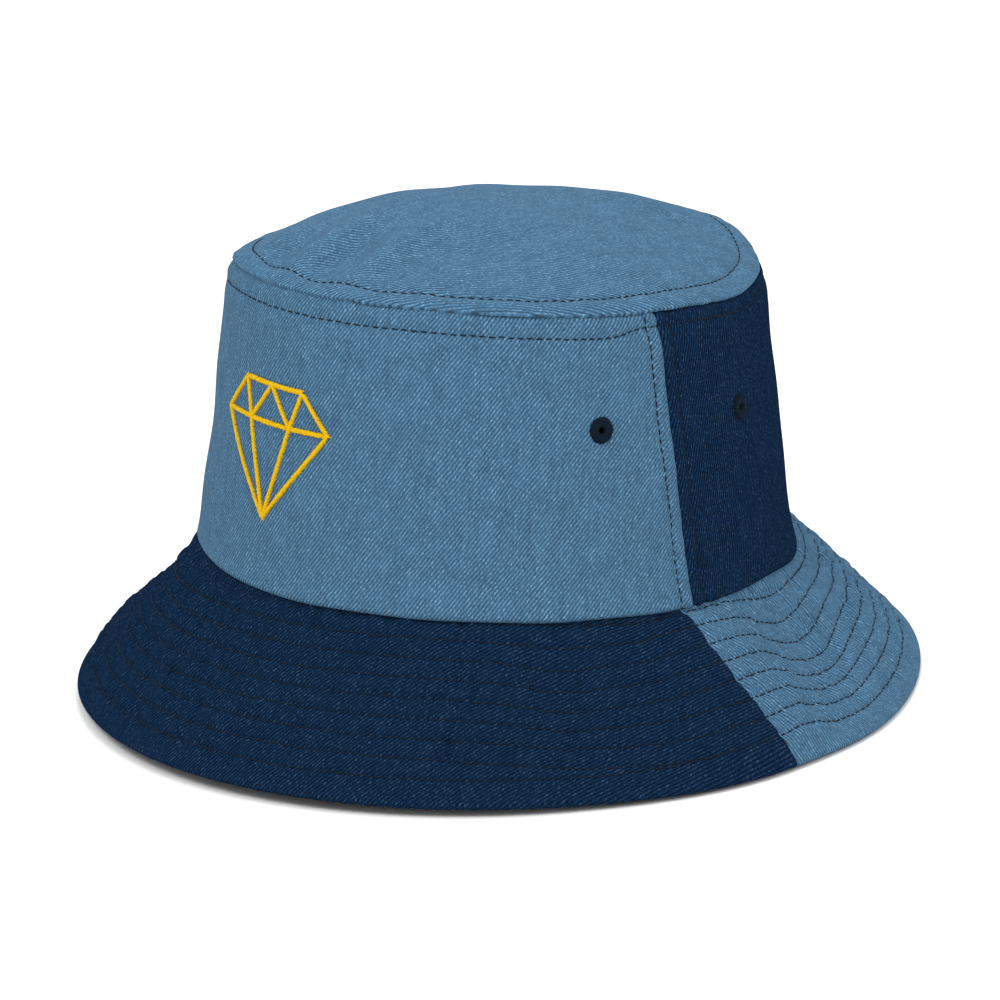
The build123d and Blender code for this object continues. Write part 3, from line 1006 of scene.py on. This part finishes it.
def felted(deep, pale):
    """A non-woven cloth of pressed fibres."""
    n = Nodes("felted")
    fibre = n.noise(n.cloth()[2], 2.2, 6.0, 0.75)
    colour = n.mix(n.spread(fibre, 0.3, 0.7), deep, pale)
    normal = n.bump(fibre, 0.5, 0.0002)
    return n.surface(Base_Color=colour, Roughness=0.9, Normal=normal, Specular_IOR_Level=0.15)


# In each denim, the fifth number is how dark the painted shade in the gaps of the weave is.
MATERIALS = {
    "light_denim": denim(
        (0.027, 0.070, 0.126), (0.122, 0.278, 0.450), (0.25, 0.45, 0.62), 0.6, 0.46, 0.04
    ),
    "dark_denim": denim(
        (0.0026, 0.0095, 0.0270), (0.0115, 0.0360, 0.0890), (0.072, 0.125, 0.205), 0.5, 0.45, 0.0
    ),
    "seam_thread": thread((0.003, 0.005, 0.010), (0.018, 0.027, 0.042)),
    "eyelet_thread": thread((0.0015, 0.004, 0.009), (0.008, 0.018, 0.032), gloss=0.05),
    "yellow_thread": thread((0.42, 0.22, 0.0), (1.0, 0.66, 0.0), rough=0.5, gloss=0.12),
    "sweatband_cotton": fine_twill((0.008, 0.013, 0.03), (0.03, 0.045, 0.085)),
    "seam_tape": plain_weave((0.008, 0.013, 0.03), (0.035, 0.05, 0.09), 0.45),
    "label_satin": plain_weave((0.62, 0.62, 0.60), (0.86, 0.86, 0.84), 0.22, 0.45),
    "backing": felted((0.55, 0.55, 0.53), (0.85, 0.85, 0.83)),
    "interlining": felted((0.5, 0.48, 0.43), (0.75, 0.73, 0.68)),
}


# ---- Crown ----

WALL_COLUMNS, WALL_ROWS = 330, 112
TIP_COLUMNS, TIP_ROWS = 560, 96
FOOT_END = 3.9  # how far round the folded foot the wall's cloth goes
EYELET_CLOTH_HOLE = 2.0
EYELET_NODES = {half: [f"eyelet_{side}_{half}" for side in ("left", "right")] for half in HALF_MIDDLE}


def eyelet_place(node):
    """The turn and the distance up the wall of an eyelet's middle."""
    low, high = corners(node)
    x, y, z = (low + high) / 2
    up = (z - BASE_Z) / (SEAM_Z - BASE_Z) * WALL_SLANT
    long, wide = wall_oval(up)
    return math.atan2(x / wide, -y / long) % TAU, up


def side_panel(half, slot):
    """Half of the crown wall, from one side seam to the other, with its vent holes."""
    rolled = np.linspace(-FOOT_END, 0, 9)[:-1]
    up = np.concatenate([rolled, np.linspace(0, WALL_SLANT, WALL_ROWS)])[None, :]
    turn = between_seams(half, side_seam_turn(np.maximum(up, 0)), WALL_COLUMNS)
    relief = wall_relief(turn, up)
    front = lifted(wall, turn, up, relief)[0]
    quads = (front[:-1, :-1] + front[1:, 1:]) / 2
    keep = np.ones(quads.shape[:2], bool)
    for node in EYELET_NODES[half]:
        middle = lifted(wall, *eyelet_place(node), 0.0)[0]
        keep &= np.linalg.norm(quads - middle, axis=-1) > EYELET_CLOTH_HOLE
    flat = WALL_CONE.flat(turn, up, HALF_MIDDLE[half])
    piece = cloth_on(f"side_panel_{half}_cloth", wall, turn, up, relief, DENIM, flat, keep=keep)
    on = [f"brim_top_{half}", f"brim_interlining_{half}"]
    finish_piece(piece, slot, on=on)


def crown_tip():
    """The domed oval top of the crown."""
    turn = np.linspace(0, TAU, TIP_COLUMNS, endpoint=False)[:, None]
    spacing = np.linspace(0, 1, TIP_ROWS) ** 1.25
    inwards = spacing[None, :] * (SEAM_WIDE - 0.8)
    relief = tip_relief(turn, inwards)
    front = lifted(tip, turn, inwards, relief)[0]
    flat = np.concatenate([front, front[:1]])[..., :2]
    piece = cloth_on("crown_tip_cloth", tip, turn, inwards, relief, DENIM, flat, closed=True, capped=True)
    finish_piece(piece, "light_denim", on=PANELS)


side_panel("front", "light_denim")
side_panel("back", "dark_denim")
crown_tip()


# ---- Brim ----

BRIM_COLUMNS, BRIM_ROWS = 520, 104
ALLOWANCE_ROWS = 10
EDGE_ROWS = 10
EDGE_MEETS = math.radians(218)  # where the two layers meet, round the edge from the top
TUCKED_IN = 1.4  # how far in from the edge the interlining starts


def brim_grid(half, columns, first):
    """Turns and distances over half the brim, up its slope and its turned-in allowance."""
    share = np.linspace(0, 1, BRIM_ROWS)
    allowance = np.linspace(0, ALLOWANCE, ALLOWANCE_ROWS)
    nominal = np.concatenate([first + (BRIM_SLANT - first) * share, BRIM_SLANT + allowance])
    turn = between_seams(half, brim_seam_turn(nominal)[None, :], columns)
    slant = brim_slant(turn)
    slope = first + (slant[:, :BRIM_ROWS] - 1 - first) * share
    return turn, np.concatenate([slope, slant[:, BRIM_ROWS:] + allowance], axis=1)


def inner_lifts(turn, distance):
    """The heights of the two cloth layers' inner faces over the brim's upper side."""
    pressed, rippled = quilting(turn, distance)
    upper = 0.35 * pressed + 0.6 * rippled - DENIM
    return upper, -BRIM_THICK + DENIM - 0.2 * pressed + 0.6 * rippled


def brim_layer(half, slot, top):
    """One cloth layer of half the brim, with its part of the rounded edge."""
    radius = BRIM_THICK / 2
    turn, distance = brim_grid(half, BRIM_COLUMNS, radius)
    outer_lift = (brim_relief if top else under_brim)(turn, distance)
    inner_lift = inner_lifts(turn, distance)[0 if top else 1]
    outer, out, _, up = lifted(brim, turn, distance, outer_lift)
    inner = lifted(brim, turn, distance, inner_lift)[0]
    if top:
        round_edge = np.linspace(EDGE_MEETS, math.pi / 2, EDGE_ROWS)[:-1]
    else:
        round_edge = np.linspace(EDGE_MEETS + 0.05, 1.5 * math.pi, EDGE_ROWS // 2)[:-1]
    centre = outer[:, :1] + out[:, :1] * (-radius if top else radius)
    wrap = np.sin(round_edge)[None, :, None] * out[:, :1] + np.cos(round_edge)[None, :, None] * up[:, :1]
    outer = np.concatenate([centre + wrap * radius, outer], axis=1)
    inner = np.concatenate([centre + wrap * (radius - DENIM), inner], axis=1)
    edge_distance = radius - radius * np.abs(round_edge - round_edge[-1])
    flat_distance = np.concatenate([edge_distance + 0 * turn[:, :1], distance], axis=1)
    flat_turn = np.concatenate([turn[:, :1] + 0 * edge_distance, turn], axis=1)
    flat = BRIM_CONE.flat(flat_turn, flat_distance, HALF_MIDDLE[half])
    name = f"brim_top_{half}" if top else f"brim_under_{half}"
    front, back = (outer, inner) if top else (inner, outer)
    piece = sheet_mesh(f"{name}_cloth", front, back, flat)
    finish_piece(piece, slot, on=[f"brim_interlining_{half}"])


def brim_interlining(half):
    """The stiff layer inside half the brim."""
    turn, distance = (grid[:, ::2] for grid in brim_grid(half, BRIM_COLUMNS // 2, TUCKED_IN))
    upper, lower = inner_lifts(turn, distance)
    thick = upper - lower - 2 * CLOTH_GAP
    flat = BRIM_CONE.flat(turn, distance, HALF_MIDDLE[half])
    name = f"brim_interlining_{half}_cloth"
    piece = cloth_on(name, brim, turn, distance, upper - CLOTH_GAP, thick, flat)
    finish_piece(piece, "interlining", on=[f"brim_top_{half}", f"brim_under_{half}"])


for half, slot in (("front", "dark_denim"), ("back", "light_denim")):
    brim_layer(half, slot, top=True)
    brim_layer(half, slot, top=False)
    brim_interlining(half)


# ---- Inside the crown ----

SWEATBAND_FOOT, SWEATBAND_TALL = 1.0, 32.0
TIP_TAPE_TALL = 11.6
SIDE_TAPE_WIDE = 12.0
SIDE_TAPE_TOP = 9.0
BACKING_SIZE = (48.0, 46.0)
SIZE_TAB_SIZE = (22.0, 12.0)
SIZE_TAB_CLOTH = 0.5


def band(name, surface, face, low, high, columns, rows, thick):
    """A closed band of cloth on the inner side of a face, between two distances up it."""
    turn = np.linspace(0, TAU, columns, endpoint=False)[:, None]
    up = np.linspace(low, high, rows)[None, :]
    outer = face(turn, up) - CLOTH_GAP
    foot = lifted(surface, turn[:, 0], up[0, 0], outer[:, 0])[0]
    round_once = np.linspace(0, arc_length(foot)[-1], columns + 1)[:, None]
    flat = np.stack(np.broadcast_arrays(round_once, up), -1)
    return cloth_on(name, surface, turn, up, outer, thick, flat, closed=True)


def sweatband():
    def outside(turn, up):
        return sweatband_face(turn, up) + SWEATBAND_CLOTH + CLOTH_GAP

    top = SWEATBAND_FOOT + SWEATBAND_TALL
    piece = band("sweatband_cloth", lining, outside, SWEATBAND_FOOT, top, 420, 44, SWEATBAND_CLOTH)
    finish_piece(piece, "sweatband_cotton", on=PANELS)


def tip_seam_tape():
    low, high = WALL_SLANT - TIP_TAPE_TALL, WALL_SLANT - 1.2
    piece = band("tip_seam_tape_cloth", wall, tape_face, low, high, 420, 16, TAPE)
    finish_piece(piece, "seam_tape", on=PANELS)


def side_seam_tape(side, sign):
    up = np.linspace(ALLOWANCE + 0.1, WALL_SLANT - SIDE_TAPE_TOP, 90)[None, :]
    across = np.linspace(-SIDE_TAPE_WIDE / 2, SIDE_TAPE_WIDE / 2, 20)[:, None]
    turn = sign * side_seam_turn(up) + across / BASE_LONG
    outer = wall_inside(turn, up) - CLOTH_GAP
    flat = np.stack(np.broadcast_arrays(across, up), -1)
    piece = cloth_on(f"side_seam_tape_{side}_cloth", wall, turn, up, outer, TAPE, flat)
    finish_piece(piece, "seam_tape", on=PANELS)


def embroidery_backing():
    place = (0.0, MOTIF_UP)
    piece = patch("embroidery_backing_cloth", wall, wall_inside, place, BACKING_SIZE, BACKING_CLOTH, 5)
    finish_piece(piece, "backing", on=["side_panel_front"])


def size_tab():
    place = (math.pi, SWEATBAND_FOOT + SWEATBAND_TALL / 2)
    piece = patch("size_tab_cloth", lining, sweatband_face, place, SIZE_TAB_SIZE, SIZE_TAB_CLOTH, 16)
    finish_piece(piece, "label_satin", on=["sweatband"])


sweatband()
tip_seam_tape()
for side, sign in SIDES:
    side_seam_tape(side, sign)
embroidery_backing()
size_tab()


# ---- Care label, which hangs from the right side seam ----

LABEL_LOW, LABEL_HIGH = corners("care_label")
FOLD_LOW, FOLD_HIGH = corners("care_label_fold")
LABEL_CLOTH = LABEL_HIGH[0] - LABEL_LOW[0]
LABEL_WIDE, LABEL_LONG = (LABEL_HIGH - LABEL_LOW)[1:]
HINGE_X = (LABEL_LOW[0] + LABEL_HIGH[0]) / 2
LABEL_ROWS = 60
LABEL_CURL, LABEL_WAVE, LABEL_CUP = 0.9, 0.25, 0.5  # how far it bends along and across


def ribbon(name, path, half_widths, thick):
    """A strip of cloth across Y along a path of x and z."""
    x, z = path[:, 0], path[:, 1]
    way = unit(np.stack([np.gradient(x), np.gradient(z)], -1))
    across = np.linspace(-1, 1, 25)
    cup = LABEL_CUP * across**2
    rows = []
    for side in (0.5, -0.5):
        sheet_x = x + way[:, 1] * thick * side + 0 * across[:, None]
        sheet_z = z - way[:, 0] * thick * side + 0 * across[:, None]
        sheet_x = sheet_x + cup[:, None] * np.linspace(0, 1, len(x)) ** 2
        sheet_y = SIDE_SEAM_Y + across[:, None] * half_widths
        rows.append(np.stack([sheet_x, sheet_y, sheet_z], -1))
    flat = np.stack([rows[0][..., 1], np.broadcast_to(arc_length(path), rows[0].shape[:2])], -1)
    return sheet_mesh(name, rows[0], rows[1], flat)


def care_label():
    down = np.linspace(0, LABEL_LONG - 0.3, LABEL_ROWS)
    curl = LABEL_CURL * (down / LABEL_LONG) ** 2 + LABEL_WAVE * np.sin(down / LABEL_LONG * TAU)
    path = np.stack([HINGE_X + curl, LABEL_HIGH[2] - 0.2 - down], -1)
    piece = ribbon("care_label_cloth", path, LABEL_WIDE / 2 * np.ones(LABEL_ROWS), LABEL_CLOTH)
    finish_piece(piece, "label_satin", on=["care_label_fold"], body="label")


def care_label_fold():
    """The label's sewn end: it spreads from its tack on the seam tape to the label."""
    up = np.linspace(ALLOWANCE, WALL_SLANT - SIDE_TAPE_TOP, 200)
    column = lifted(wall, -side_seam_turn(up), up, tape_face(-side_seam_turn(up), up))[0]
    middle_z = (FOLD_LOW[2] + FOLD_HIGH[2]) / 2
    tape_x = np.interp(middle_z, column[:, 2], column[:, 0])
    along = np.linspace(0, 1, 24)
    drop = 0.6 * smooth((along - 0.6) / 0.4)
    path = np.stack([tape_x + (HINGE_X - tape_x) * along, middle_z - drop], -1)
    half_wide = FOLD_HIGH[1] - SIDE_SEAM_Y + (LABEL_WIDE / 2 - FOLD_HIGH[1] + SIDE_SEAM_Y) * smooth(along)
    piece = ribbon("care_label_fold_cloth", path, half_wide, LABEL_CLOTH)
    finish_piece(piece, "label_satin")


care_label()
care_label_fold()


# ---- Topstitching and quilting ----


def sewn(name, shapes):
    """Makes one piece from the stitches of a row."""
    finish_piece(thread_object(f"{name}_thread", shapes), "seam_thread")


ONCE_ROUND = np.linspace(0, TAU, 900)


def tip_topstitch():
    turn, inwards = ONCE_ROUND, TOPSTITCH_FROM_SEAM + 0 * ONCE_ROUND
    outside = row_on(tip, tip_relief, turn, inwards, seed=61)
    inside = row_on(tip, tip_inside, turn, inwards, side=-1, seed=62)
    sewn("tip_topstitch", [outside, inside])


def band_topstitch():
    turn, up = ONCE_ROUND, WALL_SLANT - band_row_down(ONCE_ROUND)
    outside = row_on(wall, wall_relief, turn, up, seed=63)
    inside = row_on(wall, tape_inside, turn, up, side=-1, seed=64)
    sewn("band_topstitch", [outside, inside])


def side_topstitch(side, sign, half, way, seed):
    """The row beside a side seam, from the crown base up to the tip seam."""
    shapes = []
    rows = (
        (wall_relief, 1, np.linspace(0.5, WALL_SLANT - 0.6, 200)),
        (tape_face, -1, np.linspace(ALLOWANCE + 1, WALL_SLANT - TIP_TAPE_TALL, 200)),
    )
    for face, facing, up in rows:
        turn = sign * (side_seam_turn(up) + way * SIDE_STITCH_FROM_SEAM / wall_oval(up)[0])
        shapes.append(row_on(wall, face, turn, up, side=facing, seed=seed + facing))
    sewn(f"side_topstitch_{side}_{half}", shapes)


def brim_quilting_row(row):
    """One turn of the quilting spiral, on both faces of the brim."""
    extra = QUILT_STEP * 0.9 if row == QUILT_TURNS else 0.0
    behind = np.linspace(0, TAU + extra, 1300)
    step = smooth(behind / QUILT_STEP) if row > 1 else 1.0
    next_step = smooth((behind - TAU) / QUILT_STEP)
    turn = QUILT_START - behind
    from_edge = rows_in(turn, row - 2 + step + next_step)
    above = row_on(brim, brim_relief, turn, from_edge, seed=70 + row)
    below = row_on(brim, under_brim, turn, from_edge, side=-1, seed=80 + row)
    sewn(f"brim_quilting_row_{row}", [above, below])


def sweatband_stitch():
    turn, up = ONCE_ROUND, SWEATBAND_STITCH_UP + 0 * ONCE_ROUND
    sewn("sweatband_stitch", [row_on(lining, sweatband_face, turn, up, side=-1, seed=65)])


tip_topstitch()
band_topstitch()
sweatband_stitch()
for side_number, (side, sign) in enumerate(SIDES):
    side_topstitch(side, sign, "front", -1, 91 + 10 * side_number)
    side_topstitch(side, sign, "back", 1, 96 + 10 * side_number)
for row in range(1, QUILT_TURNS + 1):
    brim_quilting_row(row)


# ---- Eyelets: thread wound round the edge of each vent hole ----

EYELET_RADIUS = 3.7
EYELET_HOLE = 1.2
EYELET_THREADS = 46
EYELET_DOME = 1.25
EYELET_THREAD_RADIUS = 0.29


def eyelet(node, seed):
    """Threads that go from the outer edge over a dome, down the hole and back inside."""
    draw = np.random.default_rng(seed)
    middle, out, along, up = lifted(wall, *eyelet_place(node), 0.0)
    up = unit(np.cross(out, along))
    spin = (np.arange(EYELET_THREADS) + draw.uniform(-0.15, 0.15, EYELET_THREADS)) / EYELET_THREADS * TAU
    loop = np.radians(np.linspace(4, 356, 26))
    half = (EYELET_RADIUS - EYELET_HOLE) / 2
    reach = half * draw.uniform(0.92, 1.1, (EYELET_THREADS, 1))
    away = EYELET_HOLE + half + reach * np.cos(loop)
    rise = EYELET_DOME * np.sign(np.sin(loop)) * np.abs(np.sin(loop)) ** 0.7
    rise = rise * draw.uniform(0.93, 1.08, (EYELET_THREADS, 1)) - DENIM / 2
    twist = spin[:, None] + 0.10 * np.sin(loop) + draw.normal(0, 0.02, (EYELET_THREADS, 1))
    level = along * np.cos(twist)[..., None] + up * np.sin(twist)[..., None]
    centre = middle + level * away[..., None] + out * rise[..., None]
    ahead = unit(np.gradient(centre, axis=1))
    aside = unit(np.cross(out, level))
    normal = unit(np.cross(ahead, aside))
    piece = thread_object(f"{node}_thread", [tubes(centre, normal, aside, EYELET_THREAD_RADIUS)])
    finish_piece(piece, "eyelet_thread")


for number, node in enumerate(EYELET_NODES["front"] + EYELET_NODES["back"]):
    eyelet(node, 120 + number)


# ---- Embroidery: satin lines of slanting threads ----

SATIN_WIDE = 1.2
SATIN_SLANT = 0.75
SATIN_SPACING = 0.46
SATIN_RISE = 0.8
SATIN_THREAD = 0.24


def satin_line(start, stop, draw):
    """Slanting threads side by side along a straight line of the motif."""
    start, stop = np.array(start, float), np.array(stop, float)
    length = np.linalg.norm(stop - start)
    way = (stop - start) / length
    across = np.array([-way[1], way[0]])
    count = int(length / SATIN_SPACING)
    place = (np.arange(count) + 0.5) / count * length
    t = np.linspace(-1, 1, 8)
    jitter = draw.normal(0, 0.07, (count, 1))
    half = SATIN_WIDE / 2 * draw.uniform(0.8, 1.2, (count, 1))
    along = place[:, None] + jitter + SATIN_SLANT * t
    x = start[0] + way[0] * along + across[0] * half * t
    y = start[1] + way[1] * along + across[1] * half * t
    turn, up = on_wall(x, y)
    arch = SATIN_RISE * np.sqrt(np.clip(1 - t**2, 0, 1)) - 0.2 + draw.normal(0, 0.03, (count, 1))
    centre, out, _, _ = lifted(wall, turn, up, wall_relief(turn, up) + arch)
    ahead = unit(np.gradient(centre, axis=1))
    aside = unit(np.cross(out, ahead))
    return tubes(centre, unit(np.cross(ahead, aside)), aside, SATIN_THREAD)


def embroidery():
    draw = np.random.default_rng(140)
    piece = thread_object("embroidery_thread", [satin_line(*line, draw) for line in GEM_LINES])
    finish_piece(piece, "yellow_thread")


embroidery()


# ---- Camera, light and floor ----

CAMERA_TURN = math.radians(42.27)
CAMERA_RISE = math.radians(16.24)
CAMERA_AWAY = 1067.3
CAMERA_LENS = 124.1
TARGET_SIDE, TARGET_UP = 2.42, 55.05
FLOOR_SIZE = 12000.0


def aim(thing, place, target):
    """Turns a camera or lamp at a place to look at a target, both in millimetres."""
    thing.location = place * MM
    direction = Vector((target - place) * MM)
    thing.rotation_euler = direction.to_track_quat("-Z", "Y").to_euler()


def add_camera():
    right = np.array([math.cos(CAMERA_TURN), math.sin(CAMERA_TURN), 0])
    level_back = np.array([math.sin(CAMERA_TURN), -math.cos(CAMERA_TURN), 0])
    back = level_back * math.cos(CAMERA_RISE) + np.array([0, 0, math.sin(CAMERA_RISE)])
    target = right * TARGET_SIDE + np.array([0, -CROWN_FORWARD, TARGET_UP])
    camera = bpy.data.objects.new("camera", bpy.data.cameras.new("camera"))
    camera.data.lens = CAMERA_LENS
    camera.data.sensor_width = 36
    camera.data.clip_start = 0.05
    camera.data.clip_end = 50
    bpy.context.collection.objects.link(camera)
    aim(camera, target + back * CAMERA_AWAY, target)
    bpy.context.scene.camera = camera


def add_lamp(name, place, size, power):
    lamp = bpy.data.objects.new(name, bpy.data.lights.new(name, "AREA"))
    lamp.data.shape = "DISK"
    lamp.data.size = size * MM
    lamp.data.energy = power
    bpy.context.collection.objects.link(lamp)
    aim(lamp, np.array(place, float), np.array([0.0, 0.0, 60.0]))


def add_floor():
    square = np.array([[-1, -1, 0], [1, -1, 0], [1, 1, 0], [-1, 1, 0]]) * FLOOR_SIZE / 2
    floor = new_object("floor", square, [np.array([[0, 1, 2, 3]])])
    n = Nodes("floor_paper")
    grain = n.noise(n.add("ShaderNodeTexCoord", "Object", {}), 240.0, 2.0)
    colour = n.mix(grain, (0.94, 0.94, 0.94), (0.96, 0.96, 0.96))
    floor.data.materials.append(n.surface(Base_Color=colour, Roughness=0.9, Specular_IOR_Level=0.1))


def add_world():
    world = bpy.data.worlds.new("studio")
    world.use_nodes = True
    background = world.node_tree.nodes["Background"]
    background.inputs["Color"].default_value = (1.0, 1.0, 1.0, 1)
    background.inputs["Strength"].default_value = 0.74
    bpy.context.scene.world = world


add_camera()
add_world()
add_floor()
add_lamp("key", (100, -1150, 1500), 900, 14)
add_lamp("fill", (1500, 0, 1400), 1200, 10)
add_lamp("back", (-900, 1000, 1400), 900, 10)
add_lamp("top", (200, -100, 1900), 700, 5)
bpy.context.scene.view_settings.view_transform = "Standard"
bpy.context.scene.view_settings.look = "None"
